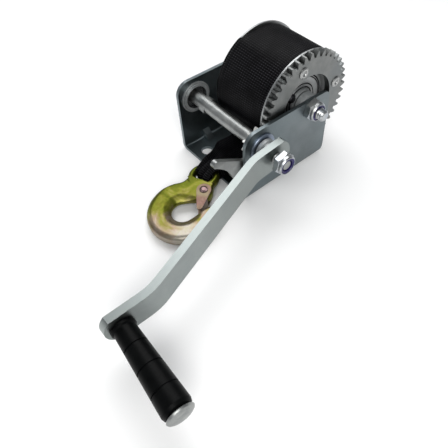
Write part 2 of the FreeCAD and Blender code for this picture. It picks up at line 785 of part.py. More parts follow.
def make_arm():
    """A flat bar with two bends, its inner face first on one plane and then further out."""
    body = new_body("arm_bar", arm_place)
    sketch = new_sketch(body, "XY_Plane", "joggle")
    half = num("arm_width") / 2
    end_radius = num("arm_end_radius")
    thickness = num("arm_thickness")
    near_x = num("arm_near_x")
    far_x = num("arm_far_x")
    first = num("arm_first_bend")
    second = num("arm_second_bend")
    over = math.radians(num("arm_overbend"))
    slope = math.atan2(far_x - near_x, second - first)
    reach = (num("arm_length") + half - second) / math.cos(over)
    end = (far_x - reach * math.sin(over), second + reach * math.cos(over))
    normal_end = (thickness * math.cos(over), thickness * math.sin(over))
    first_out = first + thickness * math.tan(-slope / 2)
    turn = slope + over
    bisect = thickness / math.cos(turn / 2)
    aim = (over - slope) / 2
    second_out = (far_x + bisect * math.cos(aim), second + bisect * math.sin(aim))
    draw_polygon(sketch, [
        (near_x, -end_radius), (near_x + thickness, -end_radius), (near_x + thickness, first_out), second_out,
        (end[0] + normal_end[0], end[1] + normal_end[1]), end, (far_x, second), (near_x, first),
    ])
    pad(body, sketch, dim("arm_width"), midplane=True)

    def bend(x, y):
        def test(edge):
            spot = middle(edge)
            return straight(edge, ALONG_Z) and near(spot.x, x, 0.3) and near(spot.y, y, 0.3)
        return test

    inner_radius = dim("arm_bend_radius")
    outer_radius = dim("arm_bend_radius") + dim("arm_thickness")
    round_edges(body, bend(near_x, first), outer_radius * 2, 1)
    round_edges(body, bend(near_x + thickness, first_out), (outer_radius * 2) - dim("arm_thickness"), 1)
    round_edges(body, bend(*second_out), outer_radius * 2, 1)
    round_edges(body, bend(far_x, second), (outer_radius * 2) - dim("arm_thickness"), 1)

    # Both ends are arcs that meet the long edges at a corner.
    corner = math.sqrt(end_radius**2 - half**2)
    margin = 6.0
    for name, centre, side in (("shaft_end", 0.0, -1), ("grip_end", end[1] - end_radius, 1)):
        rounding = new_sketch(body, "YZ_Plane", name, offset=near_x - margin)
        outer = centre + side * (end_radius + margin)
        draw_path(rounding, (centre + side * corner, half), [
            ((centre + side * end_radius, 0), (centre + side * corner, -half)),
            ((centre + side * corner, -half - margin),),
            ((outer, -half - margin),),
            ((outer, half + margin),),
            ((centre + side * corner, half + margin),),
            ((centre + side * corner, half),),
        ])
        cut_check(body, rounding, length=far_x - near_x + thickness + 2 * margin, reverse=True)
    doc.recompute()

    shaft_hole = doc.addObject("Part::Cylinder", "arm_shaft_hole")
    set_size(shaft_hole, "Radius", dim("shaft_radius"))
    set_size(shaft_hole, "Height", dim("arm_thickness") * 4)
    shaft_hole.Placement = Placement(Vector(near_x - thickness, *shaft_yz), Rotation(Vector(0, 0, 1), ALONG_X))
    pin_hole = doc.addObject("Part::Cylinder", "arm_pin_hole")
    set_size(pin_hole, "Radius", dim("grip_pin_radius"))
    set_size(pin_hole, "Height", dim("arm_thickness") * 4)
    pin_hole.Placement = pin_place * Placement(Vector(-2 * thickness, 0, 0), Rotation(Vector(0, 0, 1), ALONG_X))
    holes = doc.addObject("Part::MultiFuse", "arm_holes")
    holes.Shapes = [shaft_hole, pin_hole]
    arm = doc.addObject("Part::Cut", "crank_arm")
    arm.Label = "crank_arm"
    arm.Base = body
    arm.Tool = holes
    keep(arm)


def grip_place():
    """Where the grip's axis leaves the arm's outer face, turned to stand square on that face."""
    over = math.radians(num("arm_overbend"))
    run = num("arm_length") - num("arm_second_bend")
    x = num("arm_far_x") - run * math.tan(over) + num("arm_thickness") / math.cos(over)
    local = Placement(Vector(x, num("arm_length"), 0), Rotation(ALONG_Z, num("arm_overbend")))
    return arm_place * local


pin_place = grip_place()


def make_grip():
    pin = num("grip_pin_radius")
    length = num("grip_length")
    root = num("grip_root_radius")
    tip = num("grip_end_radius")
    thickness = num("arm_thickness")
    keep(turned("grip_pin", [
        (-thickness - 2.2, 0), (-thickness - 2.2, 4.5), (-thickness - 1.4, 6.3), (-thickness, 6.8),
        (-thickness, pin), (length + 1.6, pin), (length + 1.6, 0),
    ], pin_place))

    def surface(along):
        return root + (tip - root) * along / length

    groove_width = 1.2
    groove_depth = 0.6
    collar_end = 4.0
    profile = [(0.4, pin + 0.08), (0.4, 7.7), (1.2, 8.5), (3.0, 8.5), (collar_end, surface(collar_end))]
    for quarter in (1, 2, 3):
        along = length * quarter / 4 + 1
        profile.append((along, surface(along)))
        profile.append((along + 0.15, surface(along) - groove_depth))
        profile.append((along + groove_width, surface(along + groove_width) - groove_depth))
        profile.append((along + groove_width, surface(along + groove_width)))
    profile += [(length - 3.2, surface(length - 3.2)), (length - 1.2, tip - 0.8), (length - 0.3, tip - 2.1),
                (length, tip - 3.2), (length, pin + 0.08)]
    keep(turned("grip_sleeve", profile, pin_place))
    keep(turned("grip_cap", [
        (length + 0.5, pin), (length + 0.5, 8.8), (length + 1.1, 9.2), (length + 2.0, 8.6), (length + 3.0, 6.8),
        (length + 3.7, 4.2), (length + 4.0, 1.8), (length + 4.0, 0), (length + 1.6, 0), (length + 1.6, pin),
    ], pin_place))


make_shaft()
make_arm()
make_grip()


# ---------------------------------------------------------------- pawl

def make_pawl():
    """A plate with a nose under the pinion and a curved finger lever in front of the bracket."""
    pin = (num("pawl_pin_y"), num("pawl_pin_z"))
    boss = num("pawl_boss_radius")
    body = new_body("pawl_lever")
    sketch = new_sketch(body, "YZ_Plane", "outline", offset=dim("pawl_back"))
    tip = (-71.0, 54.1)
    tip_radius = 3.3
    lever_waist = (-57.0, 32.6)
    nose_gap = 0.9
    pinion_tip = num("gear_module") * (pinion_teeth / 2 + 1)
    nose_turn = math.radians(230)
    nose = (shaft_yz[0] + (pinion_tip + nose_gap) * math.cos(nose_turn),
            shaft_yz[1] + (pinion_tip + nose_gap) * math.sin(nose_turn))
    shoulder = (nose[0] - 6.0, nose[1] + 1.4)

    def around(centre, radius, degrees):
        turn = math.radians(degrees)
        return (centre[0] + radius * math.cos(turn), centre[1] + radius * math.sin(turn))

    draw_path(sketch, around(tip, tip_radius, 60), [
        (shoulder,),
        (nose,),
        ((nose[0] + 6.4, nose[1] - 6.2),),
        (around(pin, boss, 35),),
        (around(pin, boss, -60), around(pin, boss, -140)),
        ((-50.5, 22.6), lever_waist),
        ((-63.0, 43.3), around(tip, tip_radius, 222)),
        (around(tip, tip_radius, 150), around(tip, tip_radius, 60)),
    ])
    pad(body, sketch, dim("pawl_front") - dim("pawl_back"))
    bore = new_sketch(body, "YZ_Plane", "bore", offset=dim("pawl_back") - 1)
    draw_circle(bore, pin[0], pin[1], dim("pawl_pin_radius") + dim("running_gap"))
    cut_check(body, bore, length=dim("pawl_front") - dim("pawl_back") + 2, reverse=True)
    keep(body)

    radius = num("pawl_pin_radius")
    back = num("pawl_back")
    outer = plate_out.value
    keep(turned("pawl_pin", [
        (back - 6.6, 0), (back - 6.6, radius + 2), (back - 5.4, radius + 2), (back - 5.4, radius),
        (outer, radius), (outer, radius + 2.6), (outer + 1.2, radius + 1.8), (outer + 1.8, radius - 1),
        (outer + 1.8, 0),
    ], along_x(pin)))
    keep(turned("pawl_spring", [
        (back - 5.3, radius + 0.2), (back - 5.3, radius + 1.6), (back - 0.4, radius + 1.6),
        (back - 0.4, radius + 0.2),
    ], along_x(pin)))


make_pawl()


# ---------------------------------------------------------------- hook

bowl_place = (26.2, -98.4)
hook_lift = num("hook_bowl_radius") * math.sin(math.radians(num("hook_pitch"))) + 0.3
hook_place = Placement(Vector(bowl_place[0], bowl_place[1], hook_lift), Rotation(ALONG_Z, num("hook_turn"))) \
    * Placement(Vector(0, 0, 0), Rotation(ALONG_X, num("hook_pitch")))
rivet_spot = (7.8, 24.3)
opening_centre = (0.0, 0.0)
eye_bar = (num("hook_eye_radius") + num("hook_eye_hole")) / 2
eye_turn = math.radians(num("hook_turn"))
rear_bar = Vector(eye_bar * math.sin(eye_turn), num("hook_eye_distance") + eye_bar * math.cos(eye_turn),
                  num("hook_thickness") / 2)
loop_spot = tuple(hook_place.multVec(rear_bar))


def on_circle(centre, radius, degrees):
    turn = math.radians(degrees)
    return (centre[0] + radius * math.cos(turn), centre[1] + radius * math.sin(turn))


def between(first_degrees, last_degrees):
    return (first_degrees + last_degrees) / 2


def from_opening(spot):
    """Distance and bearing, in degrees, of a spot from the centre of the hook's opening."""
    run = (spot[0] - opening_centre[0], spot[1] - opening_centre[1])
    return math.hypot(*run), math.degrees(math.atan2(run[1], run[0]))


def make_hook():
    """A flat forging: a round bowl with an egg-shaped opening, a neck with the latch's boss, and an eye."""
    thickness = dim("hook_thickness")
    bowl = num("hook_bowl_radius")
    opening = num("hook_opening_radius")
    tip_radius = num("hook_tip_radius")
    tip_angle = num("hook_tip_angle")
    boss_radius = num("hook_boss_radius")
    eye = (0.0, num("hook_eye_distance"))
    centre = (0.0, 0.0)
    tip = on_circle(centre, bowl - tip_radius, tip_angle)

    # Straight sides that cross from the opening's circle to the tip's and the boss's circles.
    tip_distance, tip_bearing = from_opening(tip)
    tip_side = tip_bearing + math.degrees(math.asin((opening + tip_radius) / tip_distance))
    boss_distance, boss_bearing = from_opening(rivet_spot)
    boss_side = boss_bearing - math.degrees(math.asin((opening + boss_radius) / boss_distance))

    # A blend joins the bowl's outside to the eye's, on the left.
    eye_radius = num("hook_eye_radius")
    blend = 9.0
    to_bowl = bowl + blend
    to_eye = eye_radius + blend
    rise = (to_bowl**2 - to_eye**2 + eye[1] ** 2) / (2 * eye[1])
    blend_centre = (-math.sqrt(to_bowl**2 - rise**2), rise)
    bowl_blend = math.degrees(math.atan2(blend_centre[1], blend_centre[0]))
    eye_blend = math.degrees(math.atan2(blend_centre[1] - eye[1], blend_centre[0]))
    eye_start = -20.0

    body = new_body("hook_body", hook_place)
    outline = new_sketch(body, "XY_Plane", "outline")
    draw_path(outline, on_circle(centre, bowl, tip_angle), [
        (on_circle(tip, tip_radius, between(tip_angle, tip_side + 90)), on_circle(tip, tip_radius, tip_side + 90)),
        (on_circle(opening_centre, opening, tip_side - 90),),
        (on_circle(opening_centre, opening, 225), on_circle(opening_centre, opening, boss_side + 90)),
        (on_circle(rivet_spot, boss_radius, boss_side - 90),),
        (on_circle(rivet_spot, boss_radius, between(boss_side - 90, 35)), on_circle(rivet_spot, boss_radius, 35)),
        (on_circle(eye, eye_radius, eye_start),),
        (on_circle(eye, eye_radius, 90), on_circle(eye, eye_radius, 180 + (eye_blend + 180))),
        (on_circle(blend_centre, blend, between(eye_blend + 180, bowl_blend - 180)),
         on_circle(blend_centre, blend, bowl_blend - 180)),
        (on_circle(centre, bowl, between(bowl_blend, 360 + tip_angle)), on_circle(centre, bowl, tip_angle)),
    ])
    pad(body, outline, thickness)

    # The eye and the neck are thinner than the bowl, on both faces.
    thin = (thickness - dim("hook_eye_thickness")) / 2
    reach = 14.0
    for name, level, reverse in (("lower", 0, True), ("upper", thickness - thin, True)):
        recess = new_sketch(body, "XY_Plane", name, offset=level)
        split = on_circle(rivet_spot, reach, boss_side - 70)
        draw_path(recess, (60, 60), [
            ((-60, 60),),
            ((-60, 34),),
            (on_circle(rivet_spot, reach, 160),),
            (on_circle(rivet_spot, reach, 220), split),
            ((60, 5),),
            ((60, 60),),
        ])
        cut_check(body, recess, length=thin, reverse=reverse)
    hole = new_sketch(body, "XY_Plane", "eye_hole", offset=-1)
    draw_circle(hole, eye[0], eye[1], dim("hook_eye_hole"))
    cut_check(body, hole, length=thickness + 2, reverse=True)
    rivet_hole = new_sketch(body, "XY_Plane", "rivet_hole", offset=-1)
    draw_circle(rivet_hole, rivet_spot[0], rivet_spot[1], dim("latch_rivet_radius"))
    cut_check(body, rivet_hole, length=thickness + 2, reverse=True)
    return body


def make_latch():
    """Two sheet cheeks that straddle the neck and close the hook's mouth, joined along the outer edge."""
    sheet_gauge = num("latch_sheet")
    thickness = num("hook_thickness")
    inside = num("hook_eye_thickness") + 0.6
    low = (thickness - inside) / 2 - sheet_gauge
    high = (thickness + inside) / 2
    head = num("latch_head_radius")
    tip_radius = num("latch_tip_radius")
    tip = (12.2, 6.6)
    run = (tip[0] - rivet_spot[0], tip[1] - rivet_spot[1])
    length = math.hypot(*run)
    aim = math.degrees(math.atan2(run[1], run[0]))
    spread = math.degrees(math.asin((head - tip_radius) / length))
    latch = None
    for level in (low, high):
        cheek = [
            Part.LineSegment(vector(on_circle(rivet_spot, head, aim + 90 - spread)),
                             vector(on_circle(tip, tip_radius, aim + 90 - spread))).toShape(),
            Part.Arc(vector(on_circle(tip, tip_radius, aim + 90 - spread)), vector(on_circle(tip, tip_radius, aim)),
                     vector(on_circle(tip, tip_radius, aim - 90 + spread))).toShape(),
            Part.LineSegment(vector(on_circle(tip, tip_radius, aim - 90 + spread)),
                             vector(on_circle(rivet_spot, head, aim - 90 + spread))).toShape(),
            Part.Arc(vector(on_circle(rivet_spot, head, aim - 90 + spread)),
                     vector(on_circle(rivet_spot, head, aim + 180)),
                     vector(on_circle(rivet_spot, head, aim + 90 - spread))).toShape(),
        ]
        solid = Part.Face(Part.Wire(cheek)).extrude(Vector(0, 0, sheet_gauge))
        solid.translate(Vector(0, 0, level))
        latch = solid if latch is None else latch.fuse(solid)
    web_start = on_circle(rivet_spot, head, aim + 90 - spread)
    web_end = on_circle(tip, tip_radius, aim + 90 - spread)
    from_share = 0.42
    web_from = tuple(a + (b - a) * from_share for a, b in zip(web_start, web_end))
    inward = math.radians(aim - 90 - spread)
    step = (sheet_gauge * math.cos(inward), sheet_gauge * math.sin(inward))
    corners = [web_from, web_end, (web_end[0] + step[0], web_end[1] + step[1]),
               (web_from[0] + step[0], web_from[1] + step[1]), web_from]
    web = Part.Face(Part.makePolygon([Vector(x, y, low) for x, y in corners]))
    latch = latch.fuse(web.extrude(Vector(0, 0, high + sheet_gauge - low))).removeSplitter()
    rivet_bore = num("latch_rivet_radius") + num("running_gap")
    latch = latch.cut(Part.makeCylinder(rivet_bore, 3 * thickness, Vector(rivet_spot[0], rivet_spot[1], -thickness)))
    node = doc.addObject("Part::Feature", "hook_latch")
    node.Label = "hook_latch"
    node.Shape = latch
    node.Placement = hook_place
    keep(node)
    return low, high + sheet_gauge


def vector(spot, level=0.0):
    return Vector(spot[0], spot[1], level)


def make_latch_rivet(low, high):
    radius = num("latch_rivet_radius")
    head = 0.9
    gap = 0.25
    place = hook_place * Placement(Vector(rivet_spot[0], rivet_spot[1], 0), Rotation(Vector(1, 0, 0), ALONG_Z))
    keep(turned("latch_rivet", [
        (low - gap - 0.3, 0), (low - gap - 0.3, 3.2), (low - gap, 3.6), (low - gap, radius), (high + gap, radius),
        (high + gap, 3.6), (high + gap + head * 0.5, 3.3), (high + gap + head, 1.8), (high + gap + head, 0),
    ], place))


hook_body = make_hook()
latch_low, latch_high = make_latch()
keep(hook_body)
make_latch_rivet(latch_low, latch_high)


# ---------------------------------------------------------------- strap tail

def section(y, low_x, high_x, low_z, high_z):
    corners = [Vector(low_x, y, low_z), Vector(high_x, y, low_z), Vector(high_x, y, high_z), Vector(low_x, y, high_z)]
    return Part.makePolygon(corners + corners[:1])


def make_strap_tail():
    """The webbing between the roll and the hook: wide and flat, then gathered into a loop round the eye."""
    thickness = num("strap_thickness")
    left = far_flange_in.value + 0.9
    right = left + num("strap_width")
    loop_x, loop_y, loop_z = loop_spot
    inner = num("loop_radius")
    outer = inner + thickness
    half = num("loop_width") / 2
    top = loop_z + outer
    sections = [
        section(27, left, right, 11.9, 14.9),
        section(-8, left, right, 9.8, 13.0),
        section(-30, left + 1.5, right - 4, 6.2, 12.0),
        section(-43, loop_x - 17, loop_x + 14, loop_z - outer + 0.1, loop_z + outer - 1.5),
        section(loop_y, loop_x - half, loop_x + half, loop_z - outer, top),
    ]
    solid = Part.makeLoft(sections, True, True)
    bend = Part.makeCylinder(outer, 2 * half, Vector(loop_x - half, loop_y, loop_z), ALONG_X)
    bend = bend.common(Part.makeBox(2 * half, outer, 2 * outer, Vector(loop_x - half, loop_y - outer, loop_z - outer)))
    solid = solid.fuse(bend)
    ring_space = Part.makeCylinder(inner, 200, Vector(loop_x - 100, loop_y, loop_z), ALONG_X)
    solid = solid.cut(ring_space).removeSplitter()
    node = doc.addObject("Part::Feature", "strap_tail")
    node.Label = "strap_tail"
    node.Shape = solid
    keep(node)


make_strap_tail()


# ---------------------------------------------------------------- check and write

doc.recompute()
faults = []
for item in doc.Objects:
    if "Invalid" in item.State or "Error" in item.State:
        faults.append("%s is %s" % (item.Name, item.State))
for node in nodes:
    if node.Shape.isNull() or not node.Shape.isValid() or not node.Shape.Solids:
        faults.append("%s has no valid solid" % node.Label)
if faults:
    raise SystemExit("; ".join(faults))

os.makedirs("parts", exist_ok=True)
for node in nodes:
    node.Shape.exportStep(os.path.join("parts", node.Label + ".step"))
print("%d nodes written" % len(nodes))
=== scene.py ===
import json
import math
import random

import bpy
from mathutils import Euler, Matrix, Vector, noise


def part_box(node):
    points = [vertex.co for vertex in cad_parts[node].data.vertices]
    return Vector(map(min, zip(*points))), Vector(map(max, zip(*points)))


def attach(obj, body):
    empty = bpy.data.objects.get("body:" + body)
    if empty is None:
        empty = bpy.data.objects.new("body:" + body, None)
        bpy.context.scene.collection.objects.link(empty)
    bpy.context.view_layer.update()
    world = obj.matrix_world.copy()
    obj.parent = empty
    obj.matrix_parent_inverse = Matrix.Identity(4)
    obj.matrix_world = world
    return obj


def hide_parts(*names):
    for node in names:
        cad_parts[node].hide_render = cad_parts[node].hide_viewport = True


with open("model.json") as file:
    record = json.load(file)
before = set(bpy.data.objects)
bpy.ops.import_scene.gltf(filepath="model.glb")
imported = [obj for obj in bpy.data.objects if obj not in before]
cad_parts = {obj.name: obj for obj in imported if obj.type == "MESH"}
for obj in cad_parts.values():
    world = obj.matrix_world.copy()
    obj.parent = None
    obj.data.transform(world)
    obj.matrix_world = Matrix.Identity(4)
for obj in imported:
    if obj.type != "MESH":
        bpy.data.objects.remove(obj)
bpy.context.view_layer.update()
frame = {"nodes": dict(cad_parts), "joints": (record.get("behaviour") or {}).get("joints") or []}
random.seed(7)
MM = 0.001


# ---------------------------------------------------------------- material kit

class Nodes:
    """A material's node tree, with short calls for the nodes used here."""

    def __init__(self, name):
        self.material = bpy.data.materials.new(name)
        self.material.use_nodes = True
        self.tree = self.material.node_tree
        self.shader = self.tree.nodes["Principled BSDF"]
        self.coords = self.tree.nodes.new("ShaderNodeTexCoord")

    def new(self, kind, **values):
        node = self.tree.nodes.new(kind)
        for key, value in values.items():
            setattr(node, key, value)
        return node

    def link(self, source, target):
        self.tree.links.new(source, target)

    def scaled(self, scale=(1, 1, 1)):
        """The place on the object in metres, times a scale along each axis."""
        mapping = self.new("ShaderNodeMapping")
        mapping.inputs["Scale"].default_value = scale
        self.link(self.coords.outputs["Object"], mapping.inputs["Vector"])
        return mapping.outputs["Vector"]

    def along(self, vector, direction):
        """How far a place lies along a direction, times the direction's length."""
        node = self.new("ShaderNodeVectorMath", operation="DOT_PRODUCT")
        node.inputs[1].default_value = direction
        self.link(vector, node.inputs[0])
        return node.outputs["Value"]

    def noise(self, vector, scale, detail=3.0, rough=0.55, distortion=0.0):
        node = self.new("ShaderNodeTexNoise")
        node.inputs["Scale"].default_value = scale
        node.inputs["Detail"].default_value = detail
        node.inputs["Roughness"].default_value = rough
        node.inputs["Distortion"].default_value = distortion
        self.link(vector, node.inputs["Vector"])
        return node.outputs["Fac"]

    def ramp(self, fac, stops):
        """A colour for a value between 0 and 1, from stops of (value, colour)."""
        node = self.new("ShaderNodeValToRGB")
        ramp = node.color_ramp
        while len(ramp.elements) < len(stops):
            ramp.elements.new(0.5)
        for element, (at, colour) in zip(ramp.elements, stops):
            element.position = at
            element.color = (*colour, 1.0)
        self.link(fac, node.inputs["Fac"])
        return node.outputs["Color"]

    def span(self, fac, low, high, from_low=0.0, from_high=1.0):
        """Stretches from_low to from_high into low to high, and stops at both."""
        node = self.new("ShaderNodeMapRange")
        node.inputs["From Min"].default_value = from_low
        node.inputs["From Max"].default_value = from_high
        node.inputs["To Min"].default_value = low
        node.inputs["To Max"].default_value = high
        self.link(fac, node.inputs["Value"])
        return node.outputs["Result"]

    def math(self, operation, a, b=None):
        node = self.new("ShaderNodeMath", operation=operation)
        for socket, value in zip(node.inputs, (a, b)):
            if value is None:
                continue
            if isinstance(value, (int, float)):
                socket.default_value = value
            else:
                self.link(value, socket)
        return node.outputs["Value"]

    def mix(self, fac, a, b, blend="MIX"):
        node = self.new("ShaderNodeMix", data_type="RGBA", blend_type=blend)
        for socket, value in ((node.inputs[0], fac), (node.inputs[6], a), (node.inputs[7], b)):
            if isinstance(value, (int, float)):
                socket.default_value = value
            elif isinstance(value, tuple):
                socket.default_value = (*value, 1.0)
            else:
                self.link(value, socket)
        return node.outputs[2]

    def bump(self, height, strength, distance, normal=None):
        node = self.new("ShaderNodeBump")
        node.inputs["Strength"].default_value = strength
        node.inputs["Distance"].default_value = distance
        self.link(height, node.inputs["Height"])
        if normal is not None:
            self.link(normal, node.inputs["Normal"])
        return node.outputs["Normal"]

    def edge(self, radius):
        """How exposed a place is: dark in corners, light on edges. Used to paint shade into colours."""
        node = self.new("ShaderNodeAmbientOcclusion", samples=4)
        node.inputs["Distance"].default_value = radius
        return node.outputs["AO"]


# ---------------------------------------------------------------- plated steel

def plated(name, dark, light, rough, patch, grain=(900, 900, 900), tint=None, corner_shade_floor=0.72, metal=1.0,
           shade_reach=0.003):
    """Zinc-plated or turned steel: cloudy colour, uneven gloss, drawn grain and painted shade in the
    corners.

    patch is how fine the clouds are, grain how fine the drawn lines are along each axis, and crevice
    how bright the painted shade leaves a corner within shade_reach.
    """
    n = Nodes(name)
    base = n.scaled()
    cloud = n.noise(base, patch, detail=4, rough=0.6, distortion=0.4)
    colour = n.ramp(cloud, [(0.30, dark), (0.70, light)])
    if tint:
        wash = n.span(n.noise(base, patch * 0.35, detail=2), 0.0, 0.75, 0.42, 0.68)
        colour = n.mix(wash, colour, tint)
    # painted shade: the colour is darkened in corners and recesses by ambient occlusion
    corner = n.span(n.edge(shade_reach), corner_shade_floor, 1.0, 0.25, 0.85)
    shade = n.new("ShaderNodeCombineColor")
    for socket in shade.inputs[:3]:
        n.link(corner, socket)
    colour = n.mix(1.0, colour, shade.outputs[0], blend="MULTIPLY")
    n.link(colour, n.shader.inputs["Base Color"])
    drawn = n.noise(n.scaled(grain), 1.0, detail=3, rough=0.6)
    speck = n.noise(base, 1500.0, detail=2)
    gloss = n.math("ADD", n.math("MULTIPLY", cloud, 0.6), n.math("MULTIPLY", drawn, 0.4))
    n.link(n.span(gloss, rough[0], rough[1], 0.3, 0.7), n.shader.inputs["Roughness"])
    lines = n.bump(drawn, strength=0.25, distance=0.00006)
    n.link(n.bump(speck, strength=0.18, distance=0.00003, normal=lines), n.shader.inputs["Normal"])
    n.shader.inputs["Metallic"].default_value = metal
    return n.material


bracket_steel = plated("bracket_zinc", dark=(0.142, 0.166, 0.176), light=(0.205, 0.232, 0.242),
                       rough=(0.30, 0.44), patch=45, grain=(260, 1400, 260), tint=(0.15, 0.19, 0.205))
arm_steel = plated("arm_zinc", dark=(0.235, 0.262, 0.262), light=(0.33, 0.36, 0.355),
                   rough=(0.30, 0.42), patch=38, grain=(1300, 240, 1300), tint=(0.27, 0.295, 0.285))
gear_steel = plated("gear_zinc", dark=(0.17, 0.178, 0.176), light=(0.25, 0.255, 0.25),
                    rough=(0.34, 0.48), patch=120, grain=(1200, 1200, 1200), tint=(0.185, 0.20, 0.205),
                    corner_shade_floor=0.5)
rivet_steel = plated("rivet_head", dark=(0.30, 0.31, 0.31), light=(0.50, 0.50, 0.49),
                     rough=(0.28, 0.40), patch=260, grain=(1600, 1600, 1600), corner_shade_floor=0.4)
# painted highlight: the pinion's teeth get a much paler zinc than the gear so that they read as lit
pinion_lit_steel = plated("pinion_zinc", dark=(0.55, 0.56, 0.55), light=(0.75, 0.75, 0.73),
                     rough=(0.34, 0.48), patch=200, grain=(1800, 900, 900), corner_shade_floor=0.35, metal=0.5)
bush_steel = plated("bush_zinc", dark=(0.34, 0.36, 0.37), light=(0.52, 0.54, 0.54),
                    rough=(0.42, 0.55), patch=180, grain=(1400, 1400, 1400), corner_shade_floor=0.5, metal=0.6)
# painted shade: the very low corner floor and wide reach paint the cup's hollow inside nearly black
cup_steel = plated("cup_zinc", dark=(0.40, 0.42, 0.43), light=(0.60, 0.62, 0.62),
                   rough=(0.36, 0.48), patch=180, grain=(1400, 1400, 1400), corner_shade_floor=0.02, metal=0.7,
                   shade_reach=0.009)
flange_steel = plated("flange_zinc", dark=(0.30, 0.31, 0.315), light=(0.44, 0.45, 0.45),
                      rough=(0.34, 0.48), patch=80, grain=(1000, 1000, 1000))
bright_steel = plated("turned_steel", dark=(0.24, 0.25, 0.25), light=(0.38, 0.39, 0.38),
                      rough=(0.34, 0.46), patch=160, grain=(2200, 300, 300))
nut_steel = plated("nut_zinc", dark=(0.40, 0.415, 0.42), light=(0.60, 0.61, 0.60),
                   rough=(0.26, 0.38), patch=220, grain=(1500, 1500, 1500), tint=(0.40, 0.44, 0.50))
blue_zinc = plated("blue_zinc", dark=(0.22, 0.26, 0.33), light=(0.40, 0.44, 0.52),
                   rough=(0.32, 0.44), patch=260, grain=(1500, 1500, 1500), tint=(0.30, 0.36, 0.46))
pawl_steel = plated("pawl_zinc", dark=(0.26, 0.27, 0.27), light=(0.42, 0.43, 0.42),
                    rough=(0.32, 0.46), patch=110)
dark_steel = plated("pin_black", dark=(0.012, 0.012, 0.014), light=(0.06, 0.06, 0.065),
                    rough=(0.35, 0.5), patch=900)
latch_steel = plated("latch_zinc", dark=(0.080, 0.044, 0.036), light=(0.20, 0.118, 0.100),
                     rough=(0.32, 0.46), patch=210, tint=(0.19, 0.165, 0.10))
pivot_steel = plated("latch_rivet_zinc", dark=(0.12, 0.075, 0.075), light=(0.28, 0.19, 0.19),
                     rough=(0.22, 0.34), patch=300)


# ---------------------------------------------------------------- hook metal, webbing and plastics

def passivated():
    """Yellow-passivated forging: olive, straw, pink and pale areas that run into each other, and painted
    olive shade in corners and hollows.
    """
    n = Nodes("hook_passivated")
    base = n.scaled()
    broad = n.noise(base, 40.0, detail=5, rough=0.6, distortion=1.2)
    slope = n.math("ADD", n.along(base, (10.6, -4.6, 0.0)), -0.905)
    drift = n.math("ADD", n.math("MULTIPLY", broad, 1.25), slope)
    colour = n.ramp(drift, [
        (0.20, (0.085, 0.098, 0.008)),
        (0.36, (0.145, 0.148, 0.018)),
        (0.48, (0.205, 0.185, 0.050)),
        (0.60, (0.28, 0.21, 0.145)),
        (0.78, (0.36, 0.325, 0.28)),
    ])
    fine = n.noise(base, 130.0, detail=4, rough=0.65, distortion=0.8)
    film = n.ramp(fine, [(0.30, (0.80, 0.86, 0.72)), (0.55, (1.0, 1.0, 1.0)), (0.72, (1.0, 0.93, 0.95))])
    colour = n.mix(1.0, colour, film, blend="MULTIPLY")
    # painted shade: corners, the neck hollow and the bevel into the opening are darkened towards olive by
    # ambient occlusion
    corner = n.ramp(n.edge(0.007), [(0.35, (0.42, 0.36, 0.16)), (0.85, (1.0, 1.0, 1.0))])
    colour = n.mix(0.9, colour, corner, blend="MULTIPLY")
    n.link(colour, n.shader.inputs["Base Color"])
    n.link(n.span(fine, 0.32, 0.46, 0.3, 0.7), n.shader.inputs["Roughness"])
    scale = n.noise(base, 520.0, detail=3, rough=0.6)
    waves = n.bump(fine, strength=0.25, distance=0.0004)
    n.link(n.bump(scale, strength=0.35, distance=0.00012, normal=waves), n.shader.inputs["Normal"])
    n.shader.inputs["Metallic"].default_value = 0.92
    return n.material


RIB_PITCH = 1.9  # the webbing's ribs, in millimetres along the strap
YARN_PITCH = 1.25  # its warp yarns, in millimetres across the strap


def webbing():
    """Black polyester webbing: ribs across its width, warp yarns along it, dust, and painted shade in the
    weave's grooves with painted highlights on its crests.
    """
    n = Nodes("black_webbing")
    split = n.new("ShaderNodeSeparateXYZ")
    n.link(n.coords.outputs["UV"], split.inputs[0])
    along, across = split.outputs[0], split.outputs[1]
    rib = n.math("SINE", n.math("MULTIPLY", along, math.tau / RIB_PITCH))
    yarn = n.math("SINE", n.math("MULTIPLY", across, math.tau / YARN_PITCH))
    shift = n.math("MULTIPLY", n.math("SINE", n.math("MULTIPLY", across, math.pi / YARN_PITCH)), 0.35)
    rib = n.math("ADD", rib, shift)
    weave = n.math("ADD", n.math("MULTIPLY", rib, 0.7), n.math("MULTIPLY", yarn, 0.3))
    base = n.scaled()
    fuzz = n.noise(base, 900.0, detail=4, rough=0.7)
    dust = n.noise(base, 60.0, detail=3)
    # painted shade and highlight: the weave's grooves are painted darker and its crests lighter, mixed with
    # random fibre tone
    groove_shade_and_fuzz = n.math("ADD", n.math("MULTIPLY", weave, 0.55), n.math("MULTIPLY", fuzz, 0.9))
    tone = n.span(groove_shade_and_fuzz, 0.0, 1.0, -0.2, 1.1)
    colour = n.ramp(tone, [
        (0.15, (0.0003, 0.0003, 0.0005)),
        (0.60, (0.0010, 0.0010, 0.0014)),
        (0.95, (0.0045, 0.0042, 0.0055)),
    ])
    colour = n.mix(n.span(dust, 0.0, 0.15, 0.45, 0.7), colour, (0.0035, 0.0035, 0.0045))
    # painted highlight: the rib crests are painted paler, in patches where the dust noise is high
    rib_sheen_and_dust = n.math("MULTIPLY", n.span(rib, 0.0, 1.0, 0.55, 1.15), n.span(dust, 0.10, 0.85, 0.35, 0.62))
    colour = n.mix(rib_sheen_and_dust, colour, (0.034, 0.033, 0.038))
    n.link(colour, n.shader.inputs["Base Color"])
    n.link(n.span(fuzz, 0.28, 0.48), n.shader.inputs["Roughness"])
    weave_bump = n.bump(weave, strength=0.8, distance=0.0002)
    n.link(n.bump(fuzz, strength=0.12, distance=0.0001, normal=weave_bump), n.shader.inputs["Normal"])
    n.shader.inputs["Specular IOR Level"].default_value = 0.07
    return n.material


